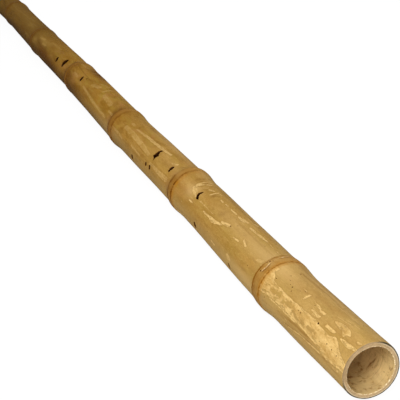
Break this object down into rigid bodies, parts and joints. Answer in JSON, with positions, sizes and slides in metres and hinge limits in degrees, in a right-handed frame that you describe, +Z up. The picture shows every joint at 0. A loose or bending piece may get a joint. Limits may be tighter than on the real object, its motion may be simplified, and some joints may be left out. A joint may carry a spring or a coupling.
{
  "type": "bamboo cane",
  "caption": "Straight, slightly crooked bamboo cane with swollen ringed nodes, slit wall and sawn hollow ends, lying on its side; a pole for garden, craft or furniture use.",
  "frame": {"origin": "centre of the bounding box's bottom, on the ground under the middle of the cane", "axes": "+X along the cane towards the thicker sawn butt, +Z up, the cane lying on its first and last node rings"},
  "size_m": [2, 0.0562, 0.054],
  "materials": {
    "bamboo": "dry golden tan bamboo skin with scraped pale patches, brown node rings and sawn ends, satin"
  },
  "bodies": {
    "root": {"bamboo_cane": "bamboo"}
  },
  "joints": []
}
